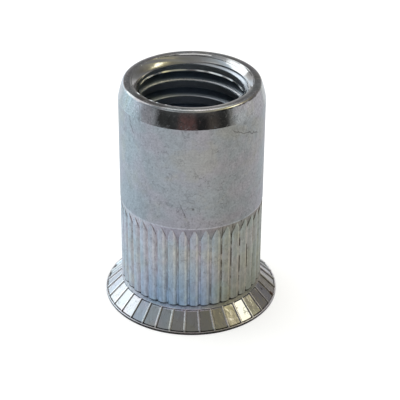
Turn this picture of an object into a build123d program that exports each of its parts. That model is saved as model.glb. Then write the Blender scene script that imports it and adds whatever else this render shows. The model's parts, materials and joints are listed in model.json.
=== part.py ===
from build123d import *

import os
from math import cos, radians, sin, sqrt, tan

# Open-end rivet nut, M10 x 1.5, with a knurled shank and a 90 degree countersunk head: one piece of
# plated steel. It stands on its flat head face with the threaded end up and its axis on Z. The bore
# is at the thread's minor diameter, and the thread itself isn't cut here. Lengths are in mm.

# Blank and bore
length = 20.0             # head face to the rim of the threaded end
thread_d = 10.0           # nominal diameter of the thread
thread_pitch = 1.5
crest_allowance = 0.9     # pitches between the nominal diameter and the bore
thread_length = 9.6       # bore from the rim down
chamber_clearance = 0.15  # chamber wall outside the thread's nominal radius
chamber_chamfer = 0.25    # break where the chamber opens at the head face
drill_angle = 118.0       # point angle between the chamber and the bore
wall = 0.85               # shank wall outside the chamber

# Rim of the threaded end
entry_chamfer = 0.55      # 45 degree countersink into the bore
nose_length = 1.5         # tapered nose that finds the hole
nose_inset = 0.4          # radius lost over the nose
nose_bulge = 0.03         # how far the nose stands proud of a straight taper
rim_round = 0.14

# Countersunk head
head_overhang = 1.42      # head radius outside the shank
head_angle = 90.0         # full angle of the cone
head_land = 0.26          # straight edge under the cone
head_edge_round = 0.08

# Neck and splines
groove_depth = 0.2        # neck and groove floors inside the shank
neck_length = 0.12        # plain neck between the cone and the splines
spline_count = 40
spline_length = 7.45      # from the neck up to the shoulder of the plain shank
spline_turn = 2.5         # angle of the first spline
crest_drop = 0.015        # spline crests inside the shank
groove_floor = 0.05       # flat width left at the foot of each groove
shoulder_length = 1.2     # slope from the shank down to the groove floors

# Flat-floored recesses round the cone, with a narrow rib left between each two
recess_count = 36
recess_turn = 0.9         # angle of the first recess
recess_depth = 0.13       # the walls lean at 45 degrees
rib_crest = 0.05          # width of a rib at the cone's surface
collar = 0.45             # plain cone above the recesses, along the slope
rim_band = 0.08           # plain cone below them, along the slope

bore_r = (thread_d - crest_allowance * thread_pitch) / 2
chamber_r = thread_d / 2 + chamber_clearance
shank_r = chamber_r + wall
neck_r = shank_r - groove_depth
crest_r = shank_r - crest_drop
head_r = shank_r + head_overhang
rim_r = shank_r - nose_inset

half_angle = radians(head_angle / 2)
cone_top = head_land + (head_r - neck_r) / tan(half_angle)
spline_bottom = cone_top + neck_length
shoulder = spline_bottom + spline_length
nose_start = length - nose_length
bore_end = length - thread_length
chamber_end = bore_end - (chamber_r - bore_r) / tan(radians(drill_angle / 2))

# The nose is an arc whose middle stands proud of the line between its ends
nose_slant = sqrt(nose_length**2 + nose_inset**2)
nose_middle = (
    (shank_r + rim_r) / 2 + nose_bulge * nose_length / nose_slant,
    (nose_start + length) / 2 + nose_bulge * nose_inset / nose_slant,
)

# A spline's section is an arc through its two feet and its crest, closed off at the chamber's radius
foot_angle = radians(180 / spline_count) - groove_floor / neck_r / 2
foot_x, foot_y = neck_r * cos(foot_angle), neck_r * sin(foot_angle)

with BuildSketch() as spline:
    with BuildLine():
        ThreePointArc((foot_x, -foot_y), (crest_r, 0), (foot_x, foot_y))
        Polyline((foot_x, foot_y), (chamber_r, foot_y), (chamber_r, -foot_y), (foot_x, -foot_y))
    make_face()

# The cutter of one recess starts a recess depth outside the cone and leans in below it. Its sketch
# plane faces out from the cone at the middle of the recess, with y running up the slope.
cone_slant = (head_r - neck_r) / sin(half_angle)
recess_half = (cone_slant - collar - rim_band) / 2
middle_r = head_r - (rim_band + recess_half) * sin(half_angle)
middle_z = head_land + (rim_band + recess_half) * cos(half_angle)
cone_out = Vector(cos(half_angle), 0, sin(half_angle))
recess_plane = Plane(
    origin=Vector(middle_r, 0, middle_z) + cone_out * recess_depth,
    x_dir=(0, 1, 0),
    z_dir=cone_out,
)
straight = recess_depth / 2
sector = tan(radians(180 / recess_count))
lower_x = (middle_r + recess_half * sin(half_angle)) * sector - rib_crest / 2 + straight
upper_x = (middle_r - recess_half * sin(half_angle)) * sector - rib_crest / 2 + straight
recess_y = recess_half + straight

with BuildPart() as recess:
    with BuildSketch(recess_plane):
        with BuildLine():
            Polyline(
                (-lower_x, -recess_y),
                (lower_x, -recess_y),
                (upper_x, recess_y),
                (-upper_x, recess_y),
                close=True,
            )
        make_face()
    extrude(amount=-2 * recess_depth)
    floor = recess.faces().sort_by(Axis(recess_plane.origin, cone_out))[0]
    chamfer(floor.edges(), 2 * recess_depth - straight)

with BuildPart() as rivet_nut:
    # Headed blank: land, cone, neck, shoulder, plain shank and nose
    with BuildSketch(Plane.XZ):
        with BuildLine():
            Polyline(
                (0, length),
                (0, 0),
                (head_r, 0),
                (head_r, head_land),
                (neck_r, cone_top),
                (neck_r, shoulder - shoulder_length),
                (shank_r, shoulder),
                (shank_r, nose_start),
            )
            ThreePointArc((shank_r, nose_start), nose_middle, (rim_r, length))
            Line((rim_r, length), (0, length))
        make_face()
    revolve(axis=Axis.Z)
    fillet(rivet_nut.edges().filter_by(GeomType.CIRCLE).sort_by(Axis.Z)[-1], rim_round)
    fillet(rivet_nut.edges().filter_by(GeomType.CIRCLE).sort_by(Axis.Z)[0], head_edge_round)

    # Splines, from the neck up to the shoulder
    with BuildSketch(Plane.XY.offset(spline_bottom)):
        with PolarLocations(0, spline_count, start_angle=spline_turn):
            add(spline.sketch)
    extrude(amount=spline_length)

    # Recesses round the cone
    with PolarLocations(0, recess_count, start_angle=recess_turn):
        add(recess.part, mode=Mode.SUBTRACT)

    # Bore, drill point and chamber, right through
    with BuildSketch(Plane.XZ):
        with BuildLine():
            Polyline(
                (0, 0),
                (chamber_r + chamber_chamfer, 0),
                (chamber_r, chamber_chamfer),
                (chamber_r, chamber_end),
                (bore_r, bore_end),
                (bore_r, length - entry_chamfer),
                (bore_r + entry_chamfer, length),
                (0, length),
                close=True,
            )
        make_face()
    revolve(axis=Axis.Z, mode=Mode.SUBTRACT)

rivet_nut.part.label = "rivet_nut"

os.makedirs("parts", exist_ok=True)
export_step(rivet_nut.part, "parts/rivet_nut.step")
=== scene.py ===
import json
import math

import bmesh
import bpy
from mathutils import Matrix, Vector


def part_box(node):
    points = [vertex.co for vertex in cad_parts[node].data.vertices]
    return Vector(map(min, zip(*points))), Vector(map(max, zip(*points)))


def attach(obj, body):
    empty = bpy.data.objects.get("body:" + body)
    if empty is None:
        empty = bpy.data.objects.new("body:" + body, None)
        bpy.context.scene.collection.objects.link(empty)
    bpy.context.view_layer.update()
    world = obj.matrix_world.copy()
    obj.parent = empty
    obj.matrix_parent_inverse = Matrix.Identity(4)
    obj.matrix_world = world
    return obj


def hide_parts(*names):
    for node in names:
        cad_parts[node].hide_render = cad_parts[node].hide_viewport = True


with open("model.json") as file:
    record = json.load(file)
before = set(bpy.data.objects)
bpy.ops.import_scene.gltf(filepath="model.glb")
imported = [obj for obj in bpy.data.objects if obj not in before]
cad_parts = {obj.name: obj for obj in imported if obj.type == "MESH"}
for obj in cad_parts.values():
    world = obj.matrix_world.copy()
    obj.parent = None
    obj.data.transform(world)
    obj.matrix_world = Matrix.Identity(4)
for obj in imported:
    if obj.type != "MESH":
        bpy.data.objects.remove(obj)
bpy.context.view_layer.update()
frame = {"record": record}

# Blank. The nut is one piece of steel, headed, bored and tapped, then zinc plated. It is drawn here
# in millimetres, and the record's mounts give the radii that matter to whoever fits the nut.
dims = {m["name"]: m["dims"] for m in frame["record"]["mounts"]}
bore_r = dims["threaded_bore"]["r_mm"]
chamber_r = dims["screw_passage"]["r_mm"]
shank_r = dims["shank"]["r_mm"]
groove_depth = 0.2
neck_r = shank_r - groove_depth
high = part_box("rivet_nut")[1]
length = 1000 * high.z
head_r = 1000 * high.x
weld = 1e-4  # vertices closer than this are joined
nut = bmesh.new()

# Head. A 90 degree countersunk cone whose face is pressed into 36 flat-floored recesses, which bite
# into the hole's edge and stop the nut from turning. Narrow ribs are left standing between them.
land = 0.22            # straight edge below the cone
recess_count = 36
recess_turn = 0.9      # angle of the first recess, in degrees
recess_depth = 0.1
rib_crest = 0.08       # width of a rib at the cone's surface
low_band = 0.04        # plain cone below the recesses, along the slope
collar = 0.33          # plain cone above them, along the slope
heel = 0.025           # how far the low end of a recess is pressed on down the slope
rim_cuts = 18          # points that bend each end of a recess round the cone
chamber_break = 0.25   # chamfer where the chamber opens at the head face
cone_top = land + head_r - neck_r
field_low_r = head_r - low_band * math.sqrt(0.5)
field_high_r = neck_r + collar * math.sqrt(0.5)
sector = 2 * math.pi / recess_count


def verts_in(geom):
    return [g for g in geom if isinstance(g, bmesh.types.BMVert)]


def new_edges(made):
    """The edges among newly made geometry whose two ends are new as well."""
    verts = set(verts_in(made))
    return [g for g in made if isinstance(g, bmesh.types.BMEdge) and set(g.verts) <= verts]


def next_ring(ring, radius, z):
    """Draws a ring of edges out to another radius and height, and returns the new ring."""
    made = bmesh.ops.extrude_edge_only(nut, edges=ring)["geom"]
    for v in verts_in(made):
        grow = radius / math.hypot(v.co.x, v.co.y)
        v.co = (v.co.x * grow, v.co.y * grow, z)
    return new_edges(made)


def edges_at(radius, z):
    """The edges of the nut that lie on one circle."""

    def on_circle(v):
        return abs(v.co.z - z) < 2 * weld and abs(math.hypot(v.co.x, v.co.y) - radius) < 2 * weld

    return [e for e in nut.edges if all(on_circle(v) for v in e.verts)]


def repeat(geom, count):
    """Copies one sector of the nut round its axis until it closes, and welds the copies."""
    bmesh.ops.spin(
        nut,
        geom=geom,
        axis=(0, 0, 1),
        angle=2 * math.pi * (count - 1) / count,
        steps=count - 1,
        use_duplicate=True,
    )
    bmesh.ops.remove_doubles(nut, verts=nut.verts, dist=weld)


corners = []
for side, radius in ((-1, field_low_r), (1, field_low_r), (1, field_high_r), (-1, field_high_r)):
    y = side * (radius * math.tan(sector / 2) - rib_crest / 2)
    corners.append(nut.verts.new((math.sqrt(radius**2 - y**2), y, land + head_r - radius)))
field = nut.faces.new(corners)
turn = Matrix.Rotation(sector, 3, "Z")
next_foot, next_top = (nut.verts.new(turn @ corners[i].co) for i in (0, 3))
nut.faces.new((corners[1], next_foot, next_top, corners[2]))
nut.normal_update()
bmesh.ops.inset_individual(
    nut, faces=[field], thickness=recess_depth, depth=-recess_depth, use_even_offset=True
)
low_corners = [v for v in field.verts if v.co.z < field.calc_center_median().z]
bmesh.ops.translate(nut, verts=low_corners, vec=(heel, 0, -heel))
outline = [
    e
    for e in nut.edges
    if e.is_boundary and e.verts[0].co.z == e.verts[1].co.z and e.calc_length() > 2 * rib_crest
]
bmesh.ops.subdivide_edges(nut, edges=outline, cuts=rim_cuts)
for v in nut.verts:
    for radius in (field_low_r, field_high_r):
        if abs(v.co.z - (land + head_r - radius)) < weld:
            grow = radius / math.hypot(v.co.x, v.co.y)
            v.co = (v.co.x * grow, v.co.y * grow, v.co.z)
turn = Matrix.Rotation(math.radians(recess_turn), 3, "Z")
bmesh.ops.rotate(nut, verts=nut.verts, matrix=turn)
repeat(list(nut.verts) + list(nut.edges) + list(nut.faces), recess_count)
next_ring(edges_at(field_high_r, land + head_r - field_high_r), neck_r, cone_top)
ring = next_ring(edges_at(field_low_r, land + head_r - field_low_r), head_r, land)
ring = next_ring(next_ring(ring, head_r, 0), chamber_r + chamber_break, 0)

# Chamber. The thin-walled part of the bore, from the head up to the thread. It is drilled wider than
# the screw, and folds out into a bulge behind the sheet when the nut is set.
thread_length = 9.6
drill_slope = math.tan(math.radians(118 / 2))  # half the drill's point angle
bore_end = length - thread_length
chamber_end = bore_end - (chamber_r - bore_r) / drill_slope
next_ring(next_ring(ring, chamber_r, chamber_break), chamber_r, chamber_end)

# Grip. 40 rolled splines stand on the neck and run out at their tops in the slope that leads up to
# the plain shank. Each is a low arch in section, with a narrow floor left between it and the next.
spline_count = 40
spline_turn = 2.5    # angle of the first spline, in degrees
spline_length = 7.55
neck_length = 0.06
slope_length = 1.2
groove_floor = 0.05
crest_drop = 0.015   # spline crests inside the shank
tip_shape = 0.52     # below 1, so that the splines end in points
flatness = 1.45      # above 1, so that the arches are flatter than an arc
spline_foot = cone_top + neck_length
slope_top = spline_foot + spline_length
slope_foot = slope_top - slope_length
spline_half = math.pi / spline_count - groove_floor / neck_r / 2
foot_x, foot_y = neck_r * math.cos(spline_half), neck_r * math.sin(spline_half)
crest_r = shank_r - crest_drop
arch_x = (crest_r**2 - foot_x**2 - foot_y**2) / (2 * (crest_r - foot_x))
arch_angle = 2 * math.atan2(foot_y, foot_x - arch_x)
before = set(nut.verts) | set(nut.edges) | set(nut.faces)
start = nut.verts.new((foot_x, -foot_y, spline_foot))
arch = bmesh.ops.spin(
    nut, geom=[start], cent=(arch_x, 0, spline_foot), axis=(0, 0, 1), angle=arch_angle, steps=16
)
bmesh.ops.spin(
    nut,
    geom=verts_in(arch["geom_last"]),
    axis=(0, 0, 1),
    angle=2 * math.pi / spline_count - 2 * spline_half,
    steps=2,
)
section = [e for e in nut.edges if e not in before]
made = bmesh.ops.extrude_edge_only(nut, edges=section)["geom"]
for v in verts_in(made):
    rise = max(0, (math.hypot(v.co.x, v.co.y) - neck_r) / (crest_r - neck_r))
    v.co.z = slope_foot + (1 - (1 - rise) ** tip_shape) * (slope_top - slope_foot)
for v in (v for v in nut.verts if v not in before):
    rise = (math.hypot(v.co.x, v.co.y) - neck_r) / (crest_r - neck_r)
    if 0 < rise < 1:
        flatter = neck_r + (1 - (1 - rise) ** flatness) * (crest_r - neck_r)
        v.co.xy *= flatter / (neck_r + rise * (crest_r - neck_r))
ledge = bmesh.ops.extrude_edge_only(nut, edges=new_edges(made))["geom"]
for v in verts_in(ledge):
    radius = math.hypot(v.co.x, v.co.y)
    slope_r = neck_r + (v.co.z - slope_foot) / (slope_top - slope_foot) * (shank_r - neck_r)
    v.co.xy *= min(radius, slope_r) / radius
next_ring(new_edges(ledge), shank_r, slope_top)
next_ring(section, neck_r, spline_foot)
fresh = [v for v in nut.verts if v not in before]
bmesh.ops.remove_doubles(nut, verts=fresh, dist=weld)
sector_geom = [g for g in [*nut.verts, *nut.edges, *nut.faces] if g not in before]
turn = Matrix.Rotation(math.radians(spline_turn), 3, "Z")
bmesh.ops.rotate(nut, verts=verts_in(sector_geom), matrix=turn)
repeat(sector_geom, spline_count)
neck_edges = [e for e in edges_at(neck_r, spline_foot) if e.is_boundary]
cone_edges = [e for e in edges_at(neck_r, cone_top) if e.is_boundary]
bmesh.ops.bridge_loops(nut, edges=cone_edges + neck_edges)

# Shank and nose. Above the splines the shank is plain, and its last 1.5 mm are turned down to a
# slightly bulging nose that finds the hole. The rim is rounded outside and barely crowned on top.
nose_length = 1.5
nose_inset = 0.4
nose_bulge = 0.03
bulge_out, bulge_up = 0.97, 0.26  # the way in which the nose bulges, square to its taper
nose_steps = 10
rim_middle = 5.24
rim_drop = 0.045                  # how far the rim's edges lie below its middle
rim_half = 0.36
nose_start = length - nose_length
rim_r = shank_r - nose_inset
ring = next_ring([e for e in edges_at(shank_r, slope_top) if e.is_boundary], shank_r, nose_start)
for step in range(1, nose_steps + 1):
    along = step / nose_steps
    bulge = 4 * nose_bulge * along * (1 - along)
    rise = nose_start + (nose_length - rim_drop) * along + bulge_up * bulge
    ring = next_ring(ring, shank_r - nose_inset * along + bulge_out * bulge, rise)
for radius in (5.5, 5.4, 5.3, rim_middle, 5.18, 5.1, 5.0):
    ring = next_ring(ring, radius, length - rim_drop * ((radius - rim_middle) / rim_half) ** 2)

# Thread. Right-handed, 1.5 mm pitch, tapped right through to the chamber. The bore's wall is cut as
# a flat sheet, a full turn wide, on which every edge of the thread and of the two cones at its ends
# is a straight line, and the sheet is then rolled up. Each flat gives its radius as a*z + b*turn + c.
pitch = 1.5
major_r = 5.0
crest = 0.65                         # length of a crest along the bore
crest_foot = 18.345                  # lower edge of the first crest, on the +X side
break_width = 0.05                   # worn break along the top edge of each crest
burr_depth, burr_width = 0.06, 0.12  # lip that the tap raised under the first crest
entry = length - 0.64                # where the countersink starts
bell = 0.1                           # how far it bulges into the bore, like the mouth of a bell
run_out_depth = 0.1                  # of the thread, where it ends in the countersink
run_out_top = entry + 0.15
run_out_slope = 3
calm = 0.1                           # length below the countersink where the crests aren't worn
steep = 1 / math.tan(math.radians(30))   # flanks of the thread
gentle = 1 / math.tan(math.radians(60))  # worn break
crest_tops = [crest_foot + crest + k * pitch for k in range(-7, 3)]
wall = (0, 0, bore_r)
root = (0, 0, major_r)
countersink = (1, 0, bore_r - entry)
drill = (-drill_slope, 0, bore_r + drill_slope * bore_end)
lower = [(steep, -steep * pitch, bore_r - steep * z) for z in crest_tops]
broken = [(gentle, -gentle * pitch, bore_r - gentle * (z - break_width)) for z in crest_tops]
upper = [(-steep, steep * pitch, bore_r + steep * (z + pitch - crest)) for z in crest_tops]
shallow = (1, 0, bore_r - entry + run_out_depth)
deeper = (-run_out_slope, 0, bore_r + run_out_depth + run_out_slope * run_out_top)


def on_flat(flat, along, z):
    return flat[0] * z + flat[1] * along + flat[2]


sheet = bmesh.new()
bmesh.ops.create_grid(sheet, x_segments=720, y_segments=1, size=0.5)
for v in sheet.verts:
    v.co = (v.co.x + 0.5, 0, chamber_end if v.co.y < 0 else length)
flanks = lower + upper
level = (0, 0, 0)  # for a cut at a place of its own, not where two flats meet
# A crease is where two flats meet, between two heights
creases = [(wall, countersink, 0, length), (wall, drill, 0, length)]
creases += [(f, g, 0, length) for f in (wall, root) for g in flanks]
creases += [(wall, g, 0, length) for g in broken]
creases += [(f, g, 0, length) for f, g in zip(lower, broken)]
creases += [(countersink, g, entry, length) for g in flanks + broken]
creases += [(drill, g, 0, bore_end) for g in flanks]
creases += [((1, -pitch, crest - burr_width - z), level, 0, length) for z in crest_tops]
creases += [(f, g, entry - 0.3, length) for f in (shallow, deeper) for g in flanks + [root]]
creases.append((shallow, deeper, entry, length))
bell_steps = 8
for step in range(1, bell_steps):
    z = entry + (length - entry) * step / bell_steps
    creases.append(((1, 0, -z), level, 0, length))
for f, g, from_z, to_z in creases:
    faces = [p for p in sheet.faces if all(from_z - weld < v.co.z < to_z + weld for v in p.verts)]
    edges = list(dict.fromkeys(e for p in faces for e in p.edges))
    verts = list(dict.fromkeys(v for e in edges for v in e.verts))
    bmesh.ops.bisect_plane(
        sheet,
        geom=verts + edges + faces,
        dist=1e-6,
        plane_co=(0, 0, (g[2] - f[2]) / (f[0] - g[0])),
        plane_no=(f[1] - g[1], 0, f[0] - g[0]),
    )
for v in sheet.verts:
    along, z = v.co.x, v.co.z
    deepest = min(major_r, max(on_flat(shallow, along, z), on_flat(deeper, along, z)))
    cuts = [
        min(max(on_flat(f, along, z), on_flat(h, along, z)), on_flat(g, along, z), deepest)
        for f, g, h in zip(lower, upper, broken)
    ]
    radius = max(bore_r, on_flat(countersink, along, z), on_flat(drill, along, z), *cuts)
    angle = 2 * math.pi * along
    if abs(z - crest_foot - pitch * along) < weld:
        ragged = 1 + 0.25 * math.sin(7.3 * angle) + 0.2 * math.sin(17.9 * angle + 1)
        radius -= burr_depth * ragged * min(1, 5 * max(0, math.sin(angle)))
    if any(abs(z - top + break_width - pitch * along) < weld for top in crest_tops):
        ragged = math.sin(41 * angle + 1) + math.sin(67 * angle) + math.sin(97 * angle + 2)
        z += 0.01 * ragged * min(1, 8 * max(0, min(entry - calm - z, z - bore_end)))
    mouth = max(0, (z - entry) / (length - entry))
    radius -= 4 * bell * mouth * (1 - mouth)
    if z > length - weld:
        z -= rim_drop
    v.co = (radius * math.cos(angle), radius * math.sin(angle), z)
rolled = bpy.data.meshes.new("rolled_bore")
sheet.to_mesh(rolled)
sheet.free()
nut.from_mesh(rolled)
bpy.data.meshes.remove(rolled)

# Finish of the blank. The bore is joined to the rim and to the chamber, so that the nut is one closed
# skin, and the edges are rounded as tumbling leaves them. It then takes the CAD solid's place.
rim_round = 0.12
head_round = 0.05
crease_angle = 8  # degrees between two faces, past which their edge is shaded as a crease
bmesh.ops.remove_doubles(nut, verts=nut.verts, dist=weld)
open_edges = [e for e in nut.edges if e.is_boundary]
top_edges = [e for e in open_edges if all(v.co.z > length - 2 * rim_drop for v in e.verts)]
bmesh.ops.bridge_loops(nut, edges=top_edges)
foot_edges = [e for e in open_edges if all(abs(v.co.z - chamber_end) < 10 * weld for v in e.verts)]
bmesh.ops.bridge_loops(nut, edges=foot_edges)
bmesh.ops.remove_doubles(nut, verts=nut.verts, dist=weld)
bmesh.ops.dissolve_degenerate(nut, edges=nut.edges, dist=weld / 10)
bmesh.ops.recalc_face_normals(nut, faces=nut.faces)
for edges, offset, segments in (
    (edges_at(rim_r, length - rim_drop), rim_round, 10),
    (edges_at(head_r, 0) + edges_at(head_r, land), head_round, 6),
):
    bmesh.ops.bevel(
        nut, geom=edges, offset=offset, offset_type="OFFSET", affect="EDGES",
        segments=segments, profile=0.5, material=-1,
    )
for f in nut.faces:
    f.smooth = True
for e in nut.edges:
    e.smooth = e.calc_face_angle(0) < math.radians(crease_angle)
bmesh.ops.scale(nut, vec=(0.001, 0.001, 0.001), verts=nut.verts)
mesh = bpy.data.meshes.new("rivet_nut_plated")
nut.to_mesh(mesh)
nut.free()
body = bpy.data.objects.new("rivet_nut_plated", mesh)
bpy.context.scene.collection.objects.link(body)
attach(body, "root")
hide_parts("rivet_nut")

# Zinc plate. The steel is plated with bright zinc: satin on the drawn shank and the splines, polished
# where the nose, the countersink and the recess floors were turned or pressed, and marked by handling.
class Shade:
    """A value in a node tree. Arithmetic on it adds Math nodes to the tree."""

    tree = None

    def __init__(self, socket):
        self.socket = socket

    @classmethod
    def node(cls, kind, settings=None, values=None, out=0):
        """Adds a node, sets its settings, then its sockets, and returns one of its outputs."""
        made = cls.tree.nodes.new("ShaderNode" + kind)
        for key, setting in (settings or {}).items():
            if key == "stops":
                elements = made.color_ramp.elements
                while len(elements) < len(setting):
                    elements.new(0)
                for element, (position, colour) in zip(elements, setting):
                    element.position, element.color = position, cls.opaque(colour)
            else:
                setattr(made, key, setting)
        for key, value in (values or {}).items():
            if isinstance(value, Shade):
                cls.tree.links.new(value.socket, made.inputs[key])
            else:
                made.inputs[key].default_value = value
        return cls(made.outputs[out]) if made.outputs else None

    @staticmethod
    def opaque(colour):
        """Gives a plain colour its alpha, and leaves a linked one as it is."""
        return (*colour, 1) if isinstance(colour, tuple) else colour

    def part(self, index):
        """Another output of the node that this value comes from."""
        return Shade(self.socket.node.outputs[index])

    def math(self, operation, *others):
        return Shade.node("Math", {"operation": operation}, dict(enumerate((self, *others))))

    def __add__(self, other):
        return self.math("ADD", other)

    def __mul__(self, other):
        return self.math("MULTIPLY", other)

    __radd__, __rmul__ = __add__, __mul__

    def __sub__(self, other):
        return self.math("SUBTRACT", other)

    def __rsub__(self, other):
        return self * -1 + other

    def __truediv__(self, other):
        return self.math("DIVIDE", other)

    def step(self, start, end):
        """Goes smoothly from 0 to 1 as the value goes from start to end."""
        settings = {"interpolation_type": "SMOOTHSTEP"}
        return Shade.node("MapRange", settings, {0: self, 1: start, 2: end})

    def near(self, middle, half, soft):
        """1 within half of a middle value, fading to 0 over a soft edge."""
        return 1 - (self - middle).math("ABSOLUTE").step(half, half + soft)

    def towards(self, other, mask):
        """Goes from this number to another as a mask goes from 0 to 1."""
        return self + mask * (other - self)

    def blend(self, first, second):
        """Mixes two colours by this value."""
        colours = {6: self.opaque(first), 7: self.opaque(second)}
        return Shade.node("Mix", {"data_type": "RGBA"}, {0: self, **colours}, out=2)

    def tint(self, mask, colour):
        """Multiplies this colour by another one, as far as a mask goes."""
        settings = {"data_type": "RGBA", "blend_type": "MULTIPLY"}
        return Shade.node("Mix", settings, {0: mask, 6: self, 7: self.opaque(colour)}, out=2)


def noise(where, scale, detail=2.0, rough=0.5, twist=0.0, shift=0.0):
    """Noise of about 0.5, with spots of about 1/scale mm. A shift gives another part of it."""
    if shift:
        where = Shade.node("VectorMath", {"operation": "ADD"}, {0: where, 1: (shift,) * 3})
    values = {"Vector": where, "Scale": scale, "Detail": detail, "Roughness": rough}
    return Shade.node("TexNoise", None, {**values, "Distortion": twist})


def vector(x, y, z):
    return Shade.node("CombineXYZ", None, {0: x, 1: y, 2: z})


def spot(across, up, start, end, wobble=0.0):
    """A round mark, from the distances to its middle in mm, that fades between two radii."""
    away = (across * across + up * up).math("SQRT")
    return 1 - (away + wobble).step(start, end)


plate = bpy.data.materials.new("zinc_plate")
plate.use_nodes = True
plate.node_tree.nodes.clear()
Shade.tree = plate.node_tree
place = Shade.node("TexCoord", out=3)  # the object's own coordinates, in metres
place = Shade.node("VectorMath", {"operation": "SCALE"}, {0: place, "Scale": 1000.0})
x = Shade.node("SeparateXYZ", None, {0: place})
y, z = x.part(1), x.part(2)
radius = (x * x + y * y).math("SQRT")
angle = x.math("ARCTAN2", y * -1)  # in radians from the front, + to the right
girth = angle * shank_r            # the same in mm along the shank
degrees = 180 / math.pi

# Where each finish is
outside = radius.step(5.2, 5.25)
on_nose = (z + (noise(place, 1.5) - 0.5) * 0.06).step(nose_start - 0.04, nose_start + 0.04)
on_nose = on_nose * outside
on_rim = z.step(length - 0.2, length - 0.1) * radius.step(4.97, 5.0)
in_bore = (1 - radius.step(5.02, 5.06)) * z.step(9.0, 9.5)
on_mouth = in_bore * z.step(entry - 0.02, entry + 0.02)
in_root = in_bore * radius.step(bore_r + 0.12, bore_r + 0.3) * (1 - on_mouth)
in_chamber = (1 - radius.step(chamber_r + 0.05, chamber_r + 0.1)) * (1 - z.step(9.0, 9.5))
below_cone = ((head_r + land) - radius - z) * math.sqrt(0.5)
on_cone = (1 - z.step(cone_top - 0.02, cone_top + 0.02)) * radius.step(neck_r - 0.1, neck_r)
on_floor = below_cone.step(0.75 * recess_depth, 0.95 * recess_depth) * on_cone
off_floor = on_cone * (1 - on_floor)
on_wall = below_cone.step(0.45 * recess_depth, 0.7 * recess_depth) * on_cone * (1 - on_floor)
on_collar = radius.near((field_high_r + neck_r) / 2, (field_high_r - neck_r) / 2, 0.03) * on_cone
on_land = (1 - z.step(land - 0.03, land + 0.01)) * radius.step(head_r - 0.2, head_r - 0.1)
on_splines = z.step(spline_foot, spline_foot + 0.02) * (1 - z.step(slope_top - 0.05, slope_top))
on_splines = on_splines * outside
slope_r = neck_r + (z - slope_foot) * ((shank_r - neck_r) / (slope_top - slope_foot))
on_slope = z.near((slope_foot + slope_top) / 2, (slope_top - slope_foot) / 2, 0.02)
on_slope = on_slope * (1 - (radius - slope_r).step(0.012, 0.03)) * on_splines

# Mottled zinc, with patches of its bluish, purple and straw tints
grain = noise(place, 6.5, 3.0, 0.7)
mottle = noise(place, 1.7, 4.0, 0.62, 0.4)
drift = noise(place, 0.42, 2.0, 0.5, 0.3)
tone = drift.step(0.38, 0.62).blend((0.535, 0.562, 0.572), (0.57, 0.55, 0.572))
straw = noise(place, 0.38, 3.0, 0.55, 0.5, shift=7.0).step(0.5, 0.66)
tone = (straw * 0.7).blend(tone, (0.575, 0.565, 0.52))
tone = tone.tint(1 - on_floor, 0.7 + 0.6 * mottle)
drawn = noise(vector(girth * 7.0, z * 1.6, radius * 7.0), 1.0, 3.0, 0.7)
tone = tone.tint(1 - in_bore - on_floor, 0.5 + grain.towards(drawn, 0.8 * on_splines))
# Painted shade: the shank darker towards the head
tone = tone.tint((1 - z.step(9.0, 15.0)) * outside, (0.9, 0.9, 0.91))

# Splines: a painted highlight along one side, a bluish painted reflection along the other, and painted
# shade in the grooves between, which are lightened against it and streaked darker. The phase runs
# from 0 to 1 over each spline, and the highlight strip leans in where the spline ends.
phase = ((angle * degrees + 90 - spline_turn) / (360 / spline_count) + 0.5).math("FRACT")
taper = (slope_top - z) * (0.42 / (slope_top - slope_foot))
edge = (taper + 0.52).math("MINIMUM", 0.71)
# Painted highlight: a bright strip along the right side of each spline, weaker on the left of the nut
highlight_strip = (phase - edge).near(0.0, 0.035, 0.07) * on_splines * (1 - on_slope)
tone = tone.tint(on_splines, (1.35, 1.35, 1.35))
tone = tone.tint(highlight_strip * (0.3 + 0.7 * angle.step(-1.0, -0.3)), (1.24, 1.23, 1.17))
# Painted reflection: a bluish tint along the left part of each spline
tone = tone.tint(phase.near(0.33, 0.2, 0.1) * on_splines * (1 - on_slope), (0.97, 1.01, 1.03))
# Painted shade: the splines darker and warmer on the right of the nut
right_side = angle.step(0.15, 0.5) * (1 - angle.step(1.7, 2.8))
tone = tone.tint(on_splines * right_side, (0.9, 0.88, 0.77))
streaks = noise(vector(girth * 1.3, z * 0.45, 0.0), 1.0, 4.0, 0.65)
groove = (phase - 0.5).math("ABSOLUTE").step(0.40, 0.46) * on_splines * (1 - on_slope)
# Painted light: the grooves lightened against the shade that falls in them, then streaked darker
tone = tone.tint(groove, (1.22, 1.2, 1.2))
tone = tone.tint(groove * streaks.step(0.45, 0.65), (0.8, 0.75, 0.74))
# Painted shade: thin dark lines in the grooves, broken by streaks, strongest on the right of the nut
groove_shade = phase.near(0.035, 0.025, 0.025) * streaks.step(0.47, 0.56) * on_splines
groove_shade = groove_shade * (0.35 + 0.65 * angle.step(0.2, 0.5))
tone = tone.tint(groove_shade, (0.24, 0.22, 0.2))
# Painted light and shade: the slopes where the splines run out lighter on the left, darker on the
# right
tone = tone.tint(on_slope, angle.step(-0.9, -0.2).blend((1.2, 1.15, 1.12), (0.92, 0.87, 0.89)))
# Painted highlight: a light line where the slope meets the shank
tone = tone.tint(z.near(slope_top + 0.03, 0.04, 0.04) * outside, (1.3, 1.3, 1.3))
# Painted shade and reflection: the lower grip darker, bluish on the left and warm on the right
foot = (1 - z.step(2.0, 6.8)) * outside * (1 - radius.step(6.0, 6.04))
foot = foot * angle.step(-1.15, -0.45) * (1 - angle.step(1.7, 2.8))
tone = tone.tint(foot, angle.step(0.1, 0.6).blend((0.64, 0.8, 0.94), (0.76, 0.75, 0.68)))
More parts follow.
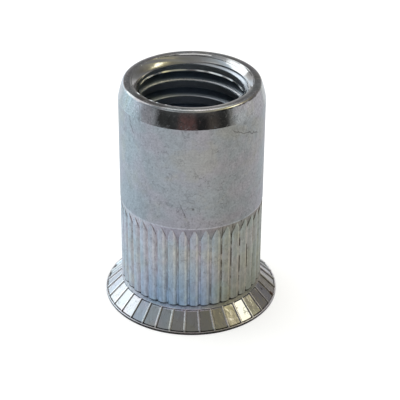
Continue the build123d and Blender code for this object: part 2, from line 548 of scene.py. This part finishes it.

# Bore: crests with painted shade that deepens down the bore, thread roots darker and bluish, partly
# from oil and partly as painted shade, a painted highlight on the burr, and a torn edge on the second
# turn lit up by a painted highlight. The torn edge follows the thread's helix, of which along is the
# share of a turn from the +X side.
tone = in_bore.blend(tone, (0.64, 0.68, 0.725))
on_crest = in_bore * radius.near(bore_r, 0.006, 0.006) * (1 - on_mouth)
# Painted shade: the crests darker, and darker still deeper in the bore
tone = tone.tint(on_crest, z.step(17.8, 19.0).blend((0.48, 0.48, 0.49), (0.72, 0.72, 0.72)))
# Thread roots darker and bluish: partly oil, partly painted shade
tone = tone.tint(in_root, (0.5, 0.54, 0.58))
on_burr = in_bore * (1 - radius.step(bore_r - 0.012, bore_r - 0.004))
# Painted highlight on the burr under the first crest
tone = tone.tint(on_burr, (1.5, 1.5, 1.5))
along = (angle / (2 * math.pi) - 0.25).math("FRACT")
rag = noise(place, 2.6, 3.0, 0.6, shift=8.0)
torn_half = 0.17 - 0.095 * along.step(0.05, 0.2)
torn_glint = z - (crest_foot + crest - pitch) - along * pitch + 0.03
torn_glint = torn_glint + (noise(place, 6.0, 3.0, 0.7) - 0.5) * 0.35
torn_glint = 1 - (torn_glint.math("ABSOLUTE") / torn_half).step(0.7, 1.3)
torn_glint = torn_glint * in_bore * (1 - radius.step(bore_r + 0.08, bore_r + 0.15)) * (1 - along.step(0.5, 0.6))
# Painted highlight along the torn edge, which also has its own roughness and relief below
tone = tone.tint(torn_glint, along.step(0.1, 0.25).blend((2.5, 2.5, 2.5), (2.1, 2.05, 1.95)))
tone = on_mouth.blend(tone, (0.58, 0.575, 0.57))
tone = in_chamber.blend(tone, (0.42, 0.43, 0.45))

# Rim: painted shade along the edge towards the nose at the back, dark burrs on it at the front right,
# and painted shade and a painted highlight on the rim at the front
# Painted shade along the rim's outer edge at the back, and dark burrs at the front right
lip = z.near(length - 0.17, 0.04, 0.03) * radius.step(5.45, 5.5)
lip = lip * (angle.math("ABSOLUTE").step(1.7, 2.1) + angle.near(0.75, 0.3, 0.2) * rag.step(0.45, 0.55))
# Dark grey: dirt on the cone, and painted shade along the rim's edge
dirt_and_shade = (0.3, 0.28, 0.28)
tone = tone.tint(lip, dirt_and_shade)
# Painted shade on the rim at the front left, and a painted highlight at the front
tone = tone.tint(on_rim * angle.near(-0.7, 0.2, 0.2), (0.55, 0.54, 0.53))
tone = tone.tint(on_rim * angle.near(0.3, 0.2, 0.25), (1.45, 1.43, 1.35))

# Head: ribs lightened by a painted highlight, brightest on the left; painted shade on the recess
# walls, at both ends of the recesses and under the ends of the splines; a darker land with a painted
# highlight along its top edge. The press is a number that goes up by one from each recess to the next.
press = (angle * degrees - recess_turn) / (360 / recess_count) + 0.5
in_recess = below_cone.step(0.02, 0.05) * off_floor
below_collar = radius.step(field_high_r + 0.02, field_high_r + 0.03)
on_rib = off_floor * below_collar * (1 - radius.step(field_low_r - 0.13, field_low_r - 0.1))
# Painted highlight: the ribs lightened, most on the left of the nut
tone = tone.tint(on_rib, angle.step(-1.1, -0.85).blend((2.2, 2.2, 2.2), (1.55, 1.53, 1.5)))
right_wall = press.math("FRACT").step(0.45, 0.55)
shaded_wall = (1 - right_wall).towards(right_wall, angle.step(0.4, 0.55))
# Painted shade on one wall of each recess, which wall changing towards the right of the nut
wall_shade = in_recess * on_rib * shaded_wall * angle.step(-1.0, -0.72)
tone = tone.tint(wall_shade, (0.35, 0.33, 0.32))
# Painted shade along the top end of each recess, bluish on the left
top_end = below_cone.step(0.02, 0.04) * off_floor * (1 - below_collar)
tone = tone.tint(top_end, angle.step(-1.0, -0.2).blend((0.5, 0.55, 0.62), (0.07, 0.07, 0.07)))
# Painted shade along the low end of each recess, towards the front
low_end = below_cone.step(0.02, 0.05) * radius.step(field_low_r - 0.19, field_low_r - 0.16)
low_end = low_end * on_cone * (1 - angle.math("ABSOLUTE").step(0.8, 1.4))
tone = tone.tint(low_end, (0.12, 0.11, 0.11))
tone = tone.tint(on_land, (0.5, 0.46, 0.45))
# Painted highlight along the top edge of the land
edge_line = z.near(land + 0.005, 0.02, 0.015) * radius.step(head_r - 0.12, head_r - 0.08)
tone = tone.tint(edge_line, (2.1, 2.0, 2.0))
# Collar lighter, with painted shade to either side of the front and a painted highlight at the front
tone = tone.tint(on_collar, (1.3, 1.28, 1.28))
collar_shade = angle.near(-1.05, 0.3, 0.3) + angle.near(0.7, 0.3, 0.3)
tone = tone.tint(on_collar * collar_shade, (0.68, 0.7, 0.72))
tone = tone.tint(on_collar * angle.near(0, 0.2, 0.3), (1.65, 1.5, 1.6))
strike = Shade.node("TexWhiteNoise", {"noise_dimensions": "1D"}, {"W": press.math("FLOOR")})
tone = tone.tint(on_floor, 0.92 + 0.16 * strike)
# Painted shade: a broken dark line under the ends of the splines
scallop_shade = z.near(spline_foot, 0.07, 0.03) * noise(place, 2.2, 2.0, shift=3.0).step(0.32, 0.42)
tone = tone.tint(scallop_shade * outside, (0.2, 0.19, 0.2))

# Scratches and marks from handling. A scratch is a line on the unrolled shank that a wiggle bends and
# a mask ends: one down the nose on the left, one level with it on the right, and one at the front.
wiggle = noise(vector(girth * 0.9, z * 0.9, radius), 1.6, 3.0, 0.6, shift=11.0) - 0.5
scuffs = noise(place, 1.7, 2.0, 0.6, 0.6, shift=5.0).near(0.5, 0.01, 0.03)
scuffs = scuffs * noise(place, 1.1, 2.0, shift=9.0).step(0.54, 0.62) * outside
nicks = noise(vector(girth, z * 0.6, radius), 3.6, 3.0, 0.6, shift=2.0)
nicks = (nicks + z.near(nose_start - 0.15, 0.1, 0.3) * 0.05).step(0.62, 0.7) * outside
left_scratch = (girth + 5.83 - (18.47 - z) * 0.47 + wiggle * 0.8).near(0.0, 0.02, 0.05)
left_scratch = left_scratch * z.near(17.8, 0.65, 0.1)
right_scratch = (z - 17.99 + (girth - 3.41) * 0.43 + wiggle * 0.9).near(0.0, 0.02, 0.05)
right_scratch = right_scratch * girth.near(4.9, 1.4, 0.2)
front_scratch = (girth + 0.43 + (z - 10.6) * 0.42 + wiggle * 0.3).near(0.0, 0.01, 0.05)
front_scratch = front_scratch * z.near(11.2, 0.5, 0.3) * 0.6
pit = spot(girth - 0.13, z - 11.38, 0.05, 0.13)
grit = spot((angle - 1.32) * 7, radius - 7.19, 0.1, 0.2, (rag - 0.5) * 0.3)
speck = spot((angle - 1.24) * 6.4, radius - 6.4, 0.06, 0.14, (rag - 0.5) * 0.2)
tone = tone.tint(grit * on_cone, (0.42, 0.26, 0.22))
tone = tone.tint(speck * on_cone, dirt_and_shade)
scratches = left_scratch + right_scratch + front_scratch + pit
scored = scuffs * 0.35 + nicks * 0.4 + scratches * outside
tone = tone.tint(scored.math("MINIMUM", 1.0), (0.5, 0.48, 0.48))

# Gloss: satin where the zinc has its own grain, and near a mirror where a tool has pressed or cut
gloss = 0.34 + (grain - 0.5) * 0.16 + (mottle - 0.5) * 0.12
gloss = gloss.towards(0.42, on_splines)
gloss = gloss.towards(0.5, on_slope)
smudge = noise(place, 2.2, 3.0, 0.6, shift=4.0).step(0.48, 0.66)
gloss = gloss.towards(0.08 + smudge * 0.1, on_nose)
gloss = gloss.towards(0.5, on_collar)
gloss = gloss.towards(0.07 + smudge * 0.05, on_floor)
gloss = gloss.towards(0.38, on_land)
gloss = gloss.towards(0.36, in_bore)
gloss = gloss.towards(0.3, in_root)
gloss = gloss.towards(0.45, torn_glint)
gloss = gloss.towards(0.1, on_mouth)
gloss = gloss.towards(0.11, on_rim)
gloss = gloss.towards(0.15, on_burr)
gloss = gloss.towards(0.12, on_wall)

# Relief in mm: orange peel, turning rings round the mouth and the rim, waves in the pressed floors
rings = noise(vector(radius * 9.0, z * 9.0, angle * 0.4), 1.0, 2.0)
waves = noise(place, 1.9, 2.0, shift=6.0)
relief = grain * 0.0022 + mottle * 0.003
pressed = below_cone.step(0.93 * recess_depth, 0.99 * recess_depth) * on_cone
relief = relief + (waves - 0.5) * (pressed * 0.026 + on_mouth * 0.012)
relief = relief + (rings - 0.5) * (on_mouth * 0.006 + on_rim * 0.001) + grain * torn_glint * 0.03
relief = relief - scored * 0.01
bump = Shade.node("Bump", None, {"Strength": 1.0, "Distance": 0.001, "Height": relief})
bsdf = {"Base Color": tone, "Metallic": 1.0, "Roughness": gloss, "Normal": bump}
bsdf = Shade.node("BsdfPrincipled", None, bsdf)
Shade.node("OutputMaterial", None, {"Surface": bsdf})
mesh.materials.append(plate)

# Studio. A round sheet of white paper with a large soft lamp over it. The lamp isn't mirrored in the
# metal: what the nut mirrors is the room round it, with a window on the left and a warm lamp opposite.
scene = bpy.context.scene
scene.view_settings.view_transform = "Standard"
sheet_mesh = bpy.data.meshes.new("paper_floor")
sheet = bmesh.new()
bmesh.ops.create_circle(sheet, cap_ends=True, segments=128, radius=0.1)
sheet.to_mesh(sheet_mesh)
sheet.free()
floor_sheet = bpy.data.objects.new("paper_floor", sheet_mesh)
scene.collection.objects.link(floor_sheet)
paper = bpy.data.materials.new("white_paper")
paper.use_nodes = True
paper_bsdf = paper.node_tree.nodes["Principled BSDF"]
paper_bsdf.inputs["Base Color"].default_value = (0.6, 0.6, 0.6, 1)
paper_bsdf.inputs["Emission Color"].default_value = (1.0, 1.0, 1.0, 1)
paper_bsdf.inputs["Emission Strength"].default_value = 0.4
paper_bsdf.inputs["Roughness"].default_value = 0.9
paper_bsdf.inputs["Specular IOR Level"].default_value = 0.0
sheet_mesh.materials.append(paper)
floor_sheet.visible_glossy = False

light_data = bpy.data.lights.new("overhead", "AREA")
light_data.shape = "DISK"
light_data.size = 0.5
light_data.energy = 1.6
overhead = bpy.data.objects.new("overhead", light_data)
overhead.location = (0, 0, 0.4)
overhead.visible_camera = False
overhead.visible_glossy = False
scene.collection.objects.link(overhead)

world = bpy.data.worlds.new("room")
scene.world = world
world.use_nodes = True
world.node_tree.nodes.clear()
Shade.tree = world.node_tree
way = Shade.node("SeparateXYZ", None, {0: Shade.node("TexCoord", out=0)})  # direction of a ray
ahead, up = way.part(1), way.part(2)
bearing = way.math("ARCTAN2", ahead * -1) * degrees  # from the front, + to the right
height = up.math("ARCSINE") * degrees
around = (bearing + 180) / 360


def ramp(stops):
    """The colour of the room at one height, from its colours at some bearings in degrees."""
    return Shade.node("ValToRGB", {"stops": [((b + 180) / 360, c) for b, c in stops]}, {0: around})


def grey(value):
    return (value, value, value)


bluish = (0.9, 0.95, 1.0)
wall_left = [(-107, (0.76, 0.97, 1.05)), (-92, (0.66, 0.79, 0.88))]
dark_front = [
    (-79, (0.37, 0.40, 0.43)), (-58, (0.32, 0.33, 0.345)), (-51, grey(0.045)), (-31, grey(0.04)),
    (-22, grey(0.05)), (-15, (0.14, 0.08, 0.075)), (2, (0.12, 0.07, 0.065)), (9, grey(0.022)),
    (20, grey(0.022)), (31, (0.095, 0.08, 0.068)), (45, grey(0.03)), (54, grey(0.04)),
    (61, grey(0.24)), (72, grey(0.57)),
]
bands = [  # height in degrees, and the colours round the room there
    (-56, [
        (-180, (0.5, 0.55, 0.62)), (-107, (0.58, 0.68, 0.78)), (-60, (0.40, 0.48, 0.57)),
        (-20, (0.22, 0.27, 0.32)), (10, (0.22, 0.25, 0.27)), (40, (0.25, 0.25, 0.21)),
        (90, (0.33, 0.32, 0.29)), (180, (0.5, 0.55, 0.62)),
    ]),
    (-32, [
        (-180, (0.70, 0.78, 0.88)), (-142, (0.66, 0.76, 0.86)), (-107, (0.64, 0.74, 0.84)),
        (-84, (0.64, 0.73, 0.81)), (-60, (0.74, 0.80, 0.87)), (0, (0.80, 0.83, 0.88)),
        (25, (0.78, 0.79, 0.80)), (45, (0.62, 0.63, 0.62)), (60, (0.50, 0.51, 0.50)),
        (92, grey(0.46)), (125, (0.52, 0.53, 0.54)), (180, (0.70, 0.78, 0.88)),
    ]),
    (-17, [
        (-180, (0.8, 0.85, 0.9)), (-155, (0.80, 0.87, 0.92)), (-136, (0.72, 0.84, 0.90)),
        (-121, (0.74, 0.92, 1.03)), *wall_left, (-77, (0.40, 0.42, 0.46)),
        (-55, (0.40, 0.42, 0.44)), (-30, grey(0.4)), (30, grey(0.4)), (60, grey(0.45)),
        (92, grey(0.58)), (121, (0.60, 0.62, 0.64)), (138, (0.58, 0.58, 0.60)),
        (150, grey(0.76)), (180, (0.8, 0.85, 0.9)),
    ]),
    (-7, [
        (-180, bluish), (-155, (0.95, 1.1, 1.22)), (-136, (0.85, 1.02, 1.1)),
        (-121, (0.78, 0.97, 1.08)), *wall_left, *dark_front, (121, (0.60, 0.61, 0.62)),
        (138, grey(0.56)), (152, grey(0.74)), (180, bluish),
    ]),
    (3, [
        (-180, grey(0.6)), (-160, (0.9, 1.0, 1.12)), (-134, (1.3, 1.55, 1.7)),
        (-107, (1.0, 1.2, 1.35)), (-90, (0.75, 0.9, 1.0)), *dark_front, (100, grey(0.58)),
        (120, grey(0.35)), (140, (0.33, 0.31, 0.28)), (152, grey(0.6)), (180, grey(0.6)),
    ]),
    (16, [
        (-180, grey(0.35)), (-150, grey(0.6)), (-125, grey(1.1)), (-98, (1.2, 1.3, 1.4)),
        (-84, grey(0.4)), (-66, grey(0.15)), (-30, grey(0.1)), (30, grey(0.1)), (66, grey(0.09)),
        (100, grey(0.10)), (113, grey(0.2)), (150, grey(0.24)), (180, grey(0.35)),
    ]),
    (26, [
        (-180, grey(0.17)), (-150, grey(0.25)), (-125, grey(0.9)), (-88, (0.75, 0.9, 1.05)),
        (-65, (0.55, 0.60, 0.64)), (-45, grey(0.75)), (-22, grey(0.48)), (2, grey(0.26)),
        (26, (0.24, 0.24, 0.20)), (49, (0.28, 0.26, 0.20)), (68, (0.6, 0.55, 0.33)),
        (100, (0.50, 0.47, 0.32)), (112, (0.24, 0.22, 0.17)), (127, (0.18, 0.17, 0.15)),
        (150, grey(0.20)), (180, grey(0.17)),
    ]),
    (52, [
        (-180, grey(0.30)), (-110, grey(0.5)), (-82, (0.6, 0.7, 0.8)), (-65, (0.46, 0.50, 0.52)),
        (-45, (0.38, 0.41, 0.43)), (-22, grey(0.285)), (2, (0.25, 0.25, 0.23)),
        (26, (0.235, 0.235, 0.197)), (49, (0.29, 0.27, 0.195)), (68, (0.6, 0.55, 0.35)),
        (100, (0.5, 0.47, 0.33)), (140, grey(0.26)), (180, grey(0.30)),
    ]),
    (82, [(-180, grey(0.25)), (180, grey(0.25))]),
]
below, stops = bands[0]
room = ramp(stops)
for rise, stops in bands[1:]:
    room = height.step(below, rise).blend(room, ramp(stops))
    below = rise
window = (bearing + height * 0.94).step(-116, -113) * (1 - bearing.step(-98, -85))
window = window * height.step(8, 11) * (1 - height.step(50, 60))
room = window.blend(room, (1.85, 1.95, 2.0))
glow = bearing.step(63, 82) * (1 - bearing.step(91, 103))
glow = glow * height.step(25, 34) * (1 - height.step(45, 54))
room = glow.blend(room, glow.blend((1.2, 1.05, 0.45), (2.5, 2.4, 1.9)))
skylight = 1 - bearing.step(-165, -115) + bearing.step(150, 168)
skylight = skylight * height.step(36, 50) * (1 - height.step(66, 76))
room = skylight.blend(room, grey(1.5))
backdrop = Shade.node("LightPath", out=0)  # 1 where the camera sees the room itself
colour = backdrop.blend(room, grey(1))
background = Shade.node("Background", None, {"Color": colour})
Shade.node("OutputWorld", None, {"Surface": background})

# Camera. A long lens, 12 cm from the nut and 31 degrees above it, held half a degree out of level.
# The nut stands a little left of the middle of the frame.
camera_data = bpy.data.cameras.new("camera")
camera = bpy.data.objects.new("camera", camera_data)
scene.collection.objects.link(camera)
camera_data.sensor_width = 36
camera_data.lens = 125.3925
camera_data.clip_start = 0.001
camera.location = (0, -0.10127, 0.06906)
aim = Vector((0.000718, 0, 0.00869))
look = (aim - camera.location).to_track_quat("-Z", "Y").to_matrix()
camera.rotation_euler = (look @ Matrix.Rotation(math.radians(0.5), 3, "Z")).to_euler()
scene.camera = camera
